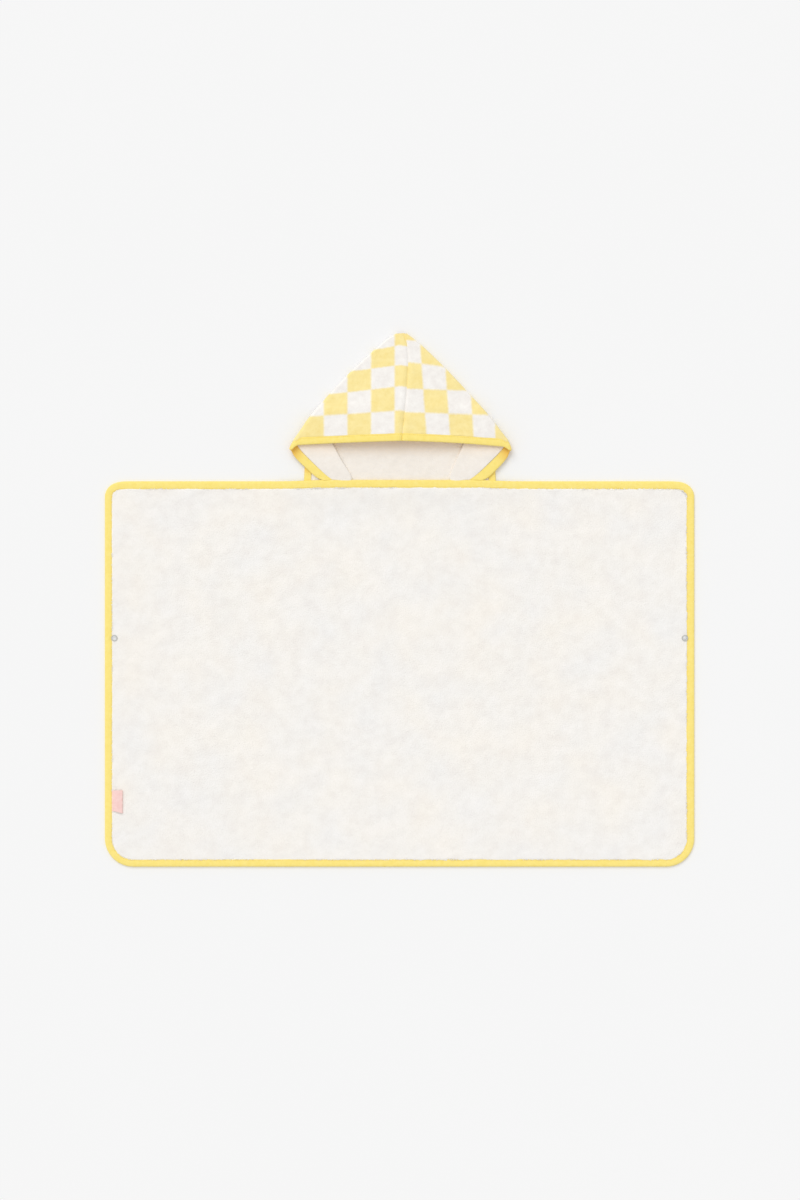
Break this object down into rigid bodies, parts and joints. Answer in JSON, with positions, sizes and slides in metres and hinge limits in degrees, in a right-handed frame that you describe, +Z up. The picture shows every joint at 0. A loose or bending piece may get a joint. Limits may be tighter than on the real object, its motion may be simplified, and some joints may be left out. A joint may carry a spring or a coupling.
{
  "type": "hooded bath cape",
  "caption": "Child's hooded bath cape in plush terry, lying open and flat, with a peaked checked hood, bound edges, ring snaps and a loop label.",
  "frame": {"origin": "on the surface that the cape lies on, under the middle of its bounding box", "axes": "+X across the cape towards the right edge as seen from above, +Y from the lower hem to the hood's point, +Z up"},
  "size_m": [1, 0.908, 0.0225],
  "materials": {
    "terry": "plush white cotton terry",
    "check": "cotton terry in pale yellow and white checks",
    "tape": "plain woven yellow bias tape",
    "ribbon": "soft pale pink ribbon",
    "metal": "satin grey"
  },
  "bodies": {
    "root": {"body_panel": "terry", "binding_bottom": "tape", "binding_top": "tape", "binding_left": "tape", "binding_right": "tape", "hood_left": "check", "hood_right": "check", "hood_tape_brow_left": "tape", "hood_tape_brow_right": "tape", "hood_tape_side_left": "tape", "hood_tape_side_right": "tape", "hood_tape_end_left": "tape", "hood_tape_end_right": "tape", "snap_left_ring": "metal", "snap_left_cap": "metal", "snap_right_ring": "metal", "snap_right_cap": "metal", "label_loop": "ribbon"}
  },
  "joints": []
}
